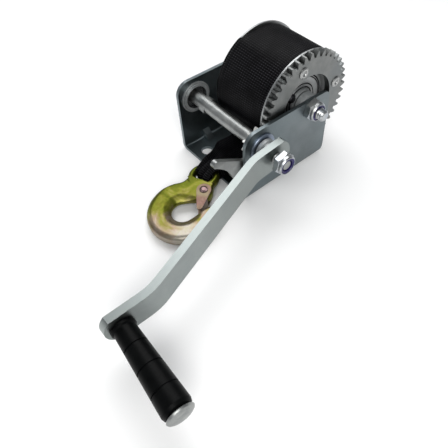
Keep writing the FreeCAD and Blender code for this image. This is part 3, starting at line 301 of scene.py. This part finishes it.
def moulded(name, dark, light, rough, pebble_scale, pebble_strength, specular):
    """Moulded plastic: fine pebble, slight flow marks and handling gloss."""
    n = Nodes(name)
    base = n.scaled()
    flow = n.noise(base, 55.0, detail=3, distortion=0.6)
    n.link(n.ramp(flow, [(0.3, dark), (0.7, light)]), n.shader.inputs["Base Color"])
    pebble = n.noise(base, pebble_scale, detail=3, rough=0.6)
    n.link(n.span(n.math("ADD", flow, pebble), rough[0], rough[1], 0.7, 1.3), n.shader.inputs["Roughness"])
    n.link(n.bump(pebble, pebble_strength, distance=0.00012), n.shader.inputs["Normal"])
    n.shader.inputs["Specular IOR Level"].default_value = specular
    return n.material


hook_metal = passivated()
strap_cloth = webbing()
grip_plastic = moulded("grip_plastic", dark=(0.0010, 0.0012, 0.0013), light=(0.0030, 0.0034, 0.0036),
                       rough=(0.34, 0.46), pebble_scale=620.0, pebble_strength=0.35, specular=0.065)
nylon = moulded("blue_nylon", dark=(0.008, 0.005, 0.055), light=(0.024, 0.014, 0.13),
                rough=(0.22, 0.38), pebble_scale=900.0, pebble_strength=0.15, specular=0.3)

LOOK = {
    "frame_bracket": bracket_steel, "crank_arm": arm_steel,
    "ring_gear": gear_steel, "gear_rivets": rivet_steel,
    "far_flange": flange_steel, "near_flange": flange_steel,
    "drum_hub": bush_steel, "drum_spacer": bush_steel, "axle_sleeve": bush_steel,
    "pinion": pinion_lit_steel, "drive_shaft": bright_steel,
    "shaft_circlip": dark_steel, "shaft_collar": bush_steel,
    "crank_nut": nut_steel, "crank_nut_insert": nylon,
    "drum_axle": nut_steel, "axle_nut": nut_steel, "axle_nut_insert": nylon,
    "far_bush": cup_steel, "near_bush": blue_zinc,
    "pawl_lever": pawl_steel, "pawl_pin": nut_steel, "pawl_spring": bright_steel,
    "grip_pin": bright_steel, "grip_cap": bright_steel, "grip_sleeve": grip_plastic,
    "hook_body": hook_metal, "hook_latch": latch_steel, "latch_rivet": pivot_steel,
    "wound_strap": strap_cloth, "strap_tail": strap_cloth, "strap_pin": dark_steel,
}
for node_name, node in frame["nodes"].items():
    node.data.materials.clear()
    node.data.materials.append(LOOK[node_name])


# ---------------------------------------------------------------- mesh kit

def add_mesh(name, points, faces, material, body, uvs=None, smooth=True):
    mesh = bpy.data.meshes.new(name)
    mesh.from_pydata([tuple(p) for p in points], [], faces)
    if uvs is not None:
        layer = mesh.uv_layers.new(name="UVMap")
        for polygon in mesh.polygons:
            for loop, corner in zip(polygon.loop_indices, polygon.vertices):
                layer.data[loop].uv = uvs[corner]
    mesh.polygons.foreach_set("use_smooth", [smooth] * len(mesh.polygons))
    mesh.materials.append(material)
    obj = bpy.data.objects.new(name, mesh)
    bpy.context.scene.collection.objects.link(obj)
    if body:
        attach(obj, body)
    return obj


def apply_modifiers(obj):
    bpy.context.view_layer.update()
    graph = bpy.context.evaluated_depsgraph_get()
    plain = obj.data
    obj.data = bpy.data.meshes.new_from_object(obj.evaluated_get(graph))
    obj.modifiers.clear()
    bpy.data.meshes.remove(plain)


def quads(rows, size, start=0, round_row=False, round_rows=False):
    """The faces of a grid of points. round_row joins a row's ends, round_rows the last row to the first."""
    faces = []
    for row in range(rows if round_rows else rows - 1):
        this, following = start + row * size, start + (row + 1) % rows * size
        for k in range(size if round_row else size - 1):
            beside = (k + 1) % size
            faces.append((this + k, this + beside, following + beside, following + k))
    return faces


def rise(value, start, over):
    """0 up to start, 1 from start + over on, and a smooth slope between them."""
    t = max(0.0, min(1.0, (value - start) / over))
    return t * t * (3 - 2 * t)


def smooth_line(points, parts=12):
    """A Catmull-Rom line through the points, with some points between each pair."""
    line = []
    padded = points[:1] + points + points[-1:]
    for a, b, c, d in zip(padded, padded[1:], padded[2:], padded[3:]):
        for k in range(parts):
            t = k / parts
            bend = (2 * a - 5 * b + 4 * c - d) * t * t + (3 * b - a - 3 * c + d) * t ** 3
            line.append(0.5 * (2 * b + (c - a) * t + bend))
    return line + points[-1:]


def spaced(line, step):
    """Even points along a line, about a step apart, and the line's length."""
    lengths = [0.0]
    for p, q in zip(line, line[1:]):
        lengths.append(lengths[-1] + (q - p).length)
    total = lengths[-1]
    count = int(total / step)
    out, k = [], 0
    for i in range(count + 1):
        want = total * i / count
        while k < len(lengths) - 2 and lengths[k + 1] < want:
            k += 1
        share = (want - lengths[k]) / max(lengths[k + 1] - lengths[k], 1e-9)
        out.append(line[k].lerp(line[k + 1], share))
    return out, total


def joint_spot(name):
    joint = next(j for j in frame["joints"] if j["name"] == name)
    return Vector(joint["pos_m"])


# ---------------------------------------------------------------- wound strap
# A profile's points are (x, r, t): r from the drum's axis, t from 0 at the far flange to 1 at the near one.

STRAP_WIDTH = 0.050
STRAP_THICK = 1.5 * MM

drum_spot = joint_spot("drum_spin")
roll_low, roll_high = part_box("wound_strap")
rim_low, rim_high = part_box("far_flange")
FAR_X, NEAR_X = roll_low.x + 0.3 * MM, roll_high.x - 0.5 * MM
OUTER = (roll_high.z - roll_low.z) / 2
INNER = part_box("drum_hub")[1].z - drum_spot.z + 0.4 * MM
CROWN = 0.4 * MM  # the outer face is this much lower at its edges
RIBS = round(math.tau * OUTER / (RIB_PITCH * MM))
RIB_HEIGHT = 0.2 * MM
RIB_STEPS, END_STEPS = RIBS * 6, 180  # columns of faces round the drum

LAP_AT, LAP_HALF, LAP_FADE = (math.radians(angle) for angle in (168, 48, 24))
LAP_CREEP = 2.3 * MM  # sideways, past the far flange
LAP_RISE = (rim_high.z - rim_low.z) / 2 + 0.6 * MM - OUTER  # outwards, over its rim


def lapped(turn):
    """1 where the last turn has crept over the far flange's rim, 0 elsewhere."""
    away = abs((turn - LAP_AT + math.pi) % math.tau - math.pi)
    return 1 - rise(away, LAP_HALF, LAP_FADE)


def bend_outer(x, r, t, turn):
    """The outer face: ribs that die out at its edges, and a far edge that creeps over the rim."""
    rib = RIB_HEIGHT * math.sin(turn * RIBS) * min(1.0, min(t, 1 - t) * 14)
    creep = LAP_CREEP * lapped(turn) * max(0.0, 1 - t * 12)
    return x - creep, r + LAP_RISE * lapped(turn) * (1 - t) + rib


def bend_lip(x, r, t, turn):
    """The underside of the lap. Here t runs outwards, from the far end face to the lap's edge."""
    crept = lapped(turn)
    return x - LAP_CREEP * crept * t, r + LAP_RISE * crept - 0.45 * MM * crept * t


def bend_end(x, r, t, turn):
    """An end face: the far one rises with the lap, and the inner turns run slightly out of round."""
    share = (r - INNER) / (OUTER - INNER)
    wobble = 0.12 * MM * math.sin(3 * turn + r / MM) * (1 - share)
    return x, r + LAP_RISE * lapped(turn) * (1 - t) * share + wobble


def outer_profile(steps=24):
    profile = []
    for k in range(steps + 1):
        t = k / steps
        edge = min(t, 1 - t) * (NEAR_X - FAR_X)
        drop = CROWN * math.exp(-(edge / (1.2 * MM)) ** 2)
        profile.append((FAR_X + (NEAR_X - FAR_X) * t, OUTER - drop, t))
    return profile


def end_profile(side, face_x, t):
    """The edges of the turns, from the outermost in, each with its own small inset and a groove under it."""
    profile = [(face_x, OUTER - CROWN, t)]
    for k in range(int((OUTER - INNER) / STRAP_THICK)):
        top = OUTER - CROWN - k * STRAP_THICK
        inset = side * random.uniform(0.0, 0.35) * MM
        profile.append((face_x - side * 0.1 * MM - inset, top - 0.1 * MM, t))
        profile.append((face_x - side * 0.15 * MM - inset, top - STRAP_THICK * 0.75, t))
        profile.append((face_x - side * 0.9 * MM, top - STRAP_THICK * 0.95, t))
    return profile if side > 0 else profile[::-1]


def outer_texture(x, r, turn):
    return RIBS * RIB_PITCH * turn / math.tau, x / MM


def end_texture(x, r, turn):
    return OUTER * turn / MM, (x + r) / MM


def roll_mesh():
    """Turns of webbing: a ribbed outer face, a last turn that laps over the far rim, and stepped ends."""
    lip = [(FAR_X, OUTER - CROWN, 0.0), (FAR_X, OUTER - CROWN, 1.0)]
    pieces = [
        (outer_profile(), RIB_STEPS, bend_outer, outer_texture),
        (lip, RIB_STEPS, bend_lip, outer_texture),
        (end_profile(1, NEAR_X, 1.0), END_STEPS, bend_end, end_texture),
        (end_profile(-1, FAR_X, 0.0), END_STEPS, bend_end, end_texture),
    ]
    points, faces, uvs = [], [], []
    for profile, steps, bend, texture in pieces:
        faces += quads(steps + 1, len(profile), start=len(points))
        for i in range(steps + 1):
            turn = math.tau * i / steps
            for x, r, t in profile:
                along, radius = bend(x, r, t, turn)
                up = drum_spot.z + radius * math.sin(turn)
                points.append((along, drum_spot.y + radius * math.cos(turn), up))
                uvs.append(texture(x, r, turn))
    return add_mesh("strap_roll", points, faces, strap_cloth, "drum", uvs)


roll = roll_mesh()
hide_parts("wound_strap")


# ---------------------------------------------------------------- strap tail

loop_spot = joint_spot("hook_swing")
tail_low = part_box("strap_tail")[0]
TAIL_THICK = 1.3 * MM
LOOP_RADIUS = 8.1 * MM  # the strap's middle line, round the hook's eye
LOOP_PULL = 4.4 * MM  # how far the hook draws that loop out
GATHERED_NEAR = 10 * MM  # fully gathered this close to the eye,
GATHER_OVER = 17 * MM  # and flat again this much further out
WIDE, NARROW = 30.0 * MM, 15.0 * MM  # how wide the gathered strap is on its way in and on its way back
FOLDS, FOLD_HEIGHT = 2.5, 1.5 * MM
BOW = 2.2 * MM


def tail_path():
    """The strap's middle line in side view, as (y, z) with z above the floor: from under the roll, round
    the hook's eye and back. The two runs are in millimetres."""
    way_in = [(30.0, 12.0), (14.0, 11.9), (0.0, 11.6), (-14.0, 11.4), (-26.0, 12.2), (-35.0, 14.4),
              (-42.0, 17.4)]
    way_back = [(-46.0, 4.4), (-38.0, 5.2), (-28.0, 7.4), (-18.0, 8.8)]
    round_eye = []
    for k in range(13):
        turn = math.radians(78 + 204 * k / 12)
        reach = LOOP_RADIUS + LOOP_PULL * max(0.0, -math.cos(turn))
        tall = LOOP_RADIUS * (0.94 + 0.16 * max(0.0, math.sin(turn)))
        round_eye.append(Vector((loop_spot.y + reach * math.cos(turn), loop_spot.z + tall * math.sin(turn))))
    return [Vector(p) * MM for p in way_in] + round_eye + [Vector(p) * MM for p in way_back]


def tail_mesh():
    """A ribbon that is flat under the drum and gathers into folds as it goes round the hook's eye."""
    path, total = spaced(smooth_line(tail_path()), step=0.8 * MM)
    flat_x = tail_low.x + STRAP_WIDTH / 2 + 0.4 * MM
    eye_x = loop_spot.x - 1.2 * MM
    across = 56
    points, uvs = [], []
    for i, spot in enumerate(path):
        tangent = (path[min(i + 1, len(path) - 1)] - path[max(i - 1, 0)]).normalized()
        normal = Vector((0, tangent.y, -tangent.x))
        share = i / (len(path) - 1)
        gather = 1 - rise((spot - loop_spot.yz).length, GATHERED_NEAR, GATHER_OVER)
        gathered = WIDE + (NARROW - WIDE) * rise(share, start=0.44, over=0.16)
        width = STRAP_WIDTH * (1 - gather) + gathered * gather
        centre = flat_x * (1 - gather) + eye_x * gather
        height = FOLD_HEIGHT * gather ** 2 * rise(share, start=0.42, over=0.14)
        bow = -BOW * math.sin(math.pi * min(1.0, gather * 1.3)) * (1 - gather)
        sway = 0.6 * math.sin(share * total / (14 * MM))
        for k in range(across + 1):
            u = k / across
            fold = height * math.cos(math.tau * FOLDS * u + sway)
            ripple = 0.25 * MM * noise.noise(Vector((u * 5, share * total / (18 * MM), 0.3)))
            lift = fold + bow * (4 * (u - 0.5) ** 2 - 0.5) + ripple
            points.append(Vector((centre + (u - 0.5) * width, *spot)) + normal * lift)
            uvs.append((share * total / MM, u * STRAP_WIDTH / MM))
    obj = add_mesh("strap_ribbon", points, quads(len(path), across + 1), strap_cloth, None, uvs)
    solid = obj.modifiers.new("thickness", "SOLIDIFY")
    solid.thickness = TAIL_THICK
    solid.offset = 0
    apply_modifiers(obj)
    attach(obj, "frame")
    return obj, total


ribbon, ribbon_length = tail_mesh()
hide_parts("strap_tail")


# ---------------------------------------------------------------- hook
# The hook is drawn in its own plane, in millimetres about the middle of its bowl, with the eye at the top.

BOWL, OPENING = 29.5, 9.7  # the bowl's outer and inner radius
TIP, TIP_AT = 5.2, 20  # the tip's radius, and where round the bowl it is, in degrees
RIVET, BOSS = Vector((7.8, 24.3)), 7.5  # the latch's rivet and the boss about it
EYE, EYE_OUTER = Vector((0.0, 40.0)), 13.0
EYE_MIDDLE, EYE_WIRE, EYE_TALL = 10.5, 3.2, 5.6  # the eye's ring: mean radius, half width, half height
NECK_BLEND = 9.0  # the hollow between the bowl and the eye
BOWL_HALF, NECK_HALF = 5.5, 4.3  # half the thickness, in the bowl and at the neck and eye
ROUNDING = [(5.5, 2.2), (5.1, 1.3), (4.3, 0.6), (3.0, 0.15)]  # height, and the outline's inset there
UNEVEN = 0.12  # how far the forged skin wanders
TURNED, TIPPED = math.radians(27.0), math.radians(4.0)  # round on the floor, and its eye off the floor

lying = Matrix.Rotation(TURNED, 4, "Z") @ Matrix.Rotation(TIPPED, 4, "X") @ Matrix.Scale(MM, 4)
HOOK_WORLD = Matrix.Translation(joint_spot("latch_swing") - lying @ Vector((*RIVET, BOWL_HALF))) @ lying


def polar(centre, radius, degrees):
    turn = math.radians(degrees)
    return Vector((centre[0] + radius * math.cos(turn), centre[1] + radius * math.sin(turn)))


def arc(centre, radius, start, end, step=4.0):
    count = max(2, int(abs(end - start) / step))
    return [polar(centre, radius, start + (end - start) * k / count) for k in range(count + 1)]


def inset_loop(points, distance):
    """The closed outline, anticlockwise, moved inwards."""
    out = []
    for a, b, c in zip(points[-1:] + points[:-1], points, points[1:] + points[:1]):
        run = (c - a).normalized()
        out.append(b + Vector((-run.y, run.x)) * distance)
    return out


def hook_outline():
    """Anticlockwise: neck, bowl, tip, opening, latch boss, and a line across inside the eye's ring."""
    tip = polar((0, 0), BOWL - TIP, TIP_AT)
    tip_side = TIP_AT + math.degrees(math.asin((OPENING + TIP) / tip.length))
    boss_side = math.degrees(math.atan2(RIVET.y, RIVET.x) - math.asin((OPENING + BOSS) / RIVET.length))
    to_bowl, to_eye = BOWL + NECK_BLEND, EYE_OUTER + NECK_BLEND
    up = (to_bowl ** 2 - to_eye ** 2 + EYE.y ** 2) / (2 * EYE.y)
    neck = (-math.sqrt(to_bowl ** 2 - up ** 2), up)
    from_bowl = math.degrees(math.atan2(neck[1], neck[0]))
    from_eye = math.degrees(math.atan2(neck[1] - EYE.y, neck[0])) % 360
    loop = arc(neck, NECK_BLEND, from_eye - 180, from_bowl - 180)
    loop += arc((0, 0), BOWL, from_bowl, 360 + TIP_AT)
    loop += arc(tip, TIP, TIP_AT, tip_side + 90)
    loop += arc((0, 0), OPENING, tip_side - 90, boss_side + 90 - 360)
    loop += arc(RIVET, BOSS, boss_side - 90, 35)
    loop += [polar(EYE, EYE_OUTER, -20)] + [polar(EYE, EYE_OUTER - 2.0, angle) for angle in (-50, -90, 215)]
    return spaced(loop + loop[:1], step=0.7)[0][:-1]


def hook_plate():
    """The outline as a thick plate with rounded edges."""
    outline = hook_outline()
    levels = [(-z, inset) for z, inset in ROUNDING] + [(0.0, 0.0)] + ROUNDING[::-1]
    points = [(*p, z) for z, inset in levels for p in inset_loop(outline, inset)]
    size = len(outline)
    faces = quads(len(levels), size, round_row=True)
    faces.append(tuple(reversed(range(size))))
    faces.append(tuple(range(len(points) - size, len(points))))
    return points, faces


def eye_ring(start, around=72, tube=24):
    """The eye's ring, a little thicker on the neck's side. start is the number of its first point."""
    points = []
    for i in range(around):
        turn = 360 * i / around
        wire = EYE_WIRE * (1.0 + 0.12 * max(0.0, -math.sin(math.radians(turn))))
        for k in range(tube):
            bend = math.tau * k / tube
            radius = EYE_MIDDLE + wire * math.cos(bend)
            points.append((*polar(EYE, radius, turn), EYE_TALL * math.sin(bend)))
    grid = quads(around, tube, start, round_row=True, round_rows=True)
    return points, [(a, d, c, b) for a, b, c, d in grid]  # turned over, to face outwards


def thickness(spot):
    """The share of the full thickness at a spot: less at the neck and towards both edges of the bowl."""
    half = NECK_HALF
    if (spot - EYE).length >= EYE_OUTER + 1.0:
        half += (BOWL_HALF - NECK_HALF) * rise((spot - RIVET).length, start=13.0, over=8.0)
    inner_slope = 0.42 + 0.58 * rise(spot.length, start=9.0, over=8.5)
    below_neck = 1 - rise(spot.y, start=2.0, over=14.0)
    outer_slope = 1.0 - 0.26 * rise(spot.length, start=24.5, over=6.0) * below_neck
    return 1.02 * half / BOWL_HALF * inner_slope * outer_slope


def hook_mesh():
    """The forging: plate and ring under one soft skin, given its thickness and a slight unevenness."""
    points, faces = hook_plate()
    ring_points, ring_faces = eye_ring(len(points))
    body = add_mesh("hook_forging", points + ring_points, faces + ring_faces, hook_metal, None)
    remesh = body.modifiers.new("skin", "REMESH")
    remesh.mode = "VOXEL"
    remesh.voxel_size = 0.55
    smooth = body.modifiers.new("soften", "SMOOTH")
    smooth.factor = 0.5
    smooth.iterations = 14
    apply_modifiers(body)
    for vertex in body.data.vertices:
        x, y, z = vertex.co
        uneven = UNEVEN * noise.noise(vertex.co * 0.35)
        level = z * thickness(Vector((x, y)))
        vertex.co = HOOK_WORLD @ Vector((x + uneven, y, BOWL_HALF + level + uneven * 0.4))
    body.data.polygons.foreach_set("use_smooth", [True] * len(body.data.polygons))
    body.data.materials.clear()
    body.data.materials.append(hook_metal)
    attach(body, "hook")
    return body


hook = hook_mesh()
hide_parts("hook_body")


# ---------------------------------------------------------------- pawl spring

def spring_mesh(turns=4.5, per_turn=28, tube=10):
    """A coil of wire, its turns closer together at both ends."""
    low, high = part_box("pawl_spring")
    centre_y, centre_z = (low.y + high.y) / 2, (low.z + high.z) / 2
    wire = 0.45 * MM
    radius = (high.y - low.y) / 2 - wire
    start, end = low.x + wire, high.x - wire
    count = int(turns * per_turn)
    points = []
    for i in range(count + 1):
        turn = math.tau * i / per_turn
        share = 0.5 * i / count + 0.5 * rise(i / count, start=0.0, over=1.0)
        out = Vector((0, math.cos(turn), math.sin(turn)))
        centre = Vector((start + (end - start) * share, centre_y, centre_z)) + out * radius
        for k in range(tube):
            bend = math.tau * k / tube
            points.append(centre + out * wire * math.cos(bend) + Vector((wire * math.sin(bend), 0, 0)))
    faces = quads(count + 1, tube, round_row=True)
    faces.append(tuple(range(tube)))
    faces.append(tuple(reversed(range(count * tube, (count + 1) * tube))))
    return add_mesh("pawl_coil", points, faces, bright_steel, "frame")


coil = spring_mesh()
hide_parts("pawl_spring")


# ---------------------------------------------------------------- floor, light and camera

FLOOR_HALF = 4.0


def floor_paint():
    n = Nodes("pale_floor")
    tone = n.noise(n.scaled(), 3.0, detail=2)
    pale = n.ramp(tone, [(0.3, (0.95, 0.95, 0.95)), (0.7, (0.97, 0.97, 0.97))])
    n.link(pale, n.shader.inputs["Base Color"])
    n.shader.inputs["Roughness"].default_value = 0.9
    n.shader.inputs["Specular IOR Level"].default_value = 0.1
    return n.material


def area_light(name, place, target, size, power, colour=(1, 1, 1)):
    light = bpy.data.lights.new(name, "AREA")
    light.shape = "RECTANGLE"
    light.size, light.size_y = size
    light.energy = power
    light.color = colour
    obj = bpy.data.objects.new(name, light)
    obj.location = place
    obj.rotation_mode = "QUATERNION"
    obj.rotation_quaternion = (Vector(target) - Vector(place)).to_track_quat("-Z", "Y")
    bpy.context.scene.collection.objects.link(obj)


corners = [(x * FLOOR_HALF, y * FLOOR_HALF, 0) for x, y in ((-1, -1), (1, -1), (1, 1), (-1, 1))]
floor = add_mesh("floor", corners, [(0, 1, 2, 3)], floor_paint(), None, smooth=False)

world = bpy.data.worlds.new("studio")
bpy.context.scene.world = world
world.use_nodes = True
background = world.node_tree.nodes["Background"]
background.inputs["Color"].default_value = (0.95, 0.97, 1.0, 1.0)
background.inputs["Strength"].default_value = 0.26

area_light("softbox", place=(-0.46, 0.34, 1.18), target=(0.0, -0.05, 0.03), size=(1.15, 1.0), power=11.5)
area_light("key", place=(0.78, -0.52, 0.90), target=(0.02, -0.05, 0.03), size=(0.65, 0.65), power=9.5,
           colour=(1.0, 0.995, 0.98))
area_light("left", place=(-0.95, -0.45, 0.35), target=(0.0, 0.0, 0.05), size=(0.30, 0.8), power=1.4,
           colour=(0.95, 0.98, 1.0))

scene = bpy.context.scene
scene.view_settings.view_transform = "Standard"
camera_data = bpy.data.cameras.new("camera")
camera = bpy.data.objects.new("camera", camera_data)
scene.collection.objects.link(camera)
scene.camera = camera
azimuth, elevation, camera_roll = math.radians(48.1256), math.radians(50.862), math.radians(0.187)
flat = math.cos(elevation)
forward = Vector((-math.sin(azimuth) * flat, math.cos(azimuth) * flat, -math.sin(elevation)))
camera.location = (0.243155, -0.214568, 0.299547)
camera.rotation_mode = "QUATERNION"
camera.rotation_quaternion = forward.to_track_quat("-Z", "Y") @ Euler((0, 0, camera_roll)).to_quaternion()
camera_data.sensor_width = 36.0
camera_data.lens = 37.04
camera_data.shift_x = -0.0689
camera_data.shift_y = -0.0211
camera_data.clip_start = 0.01
camera_data.clip_end = 20.0
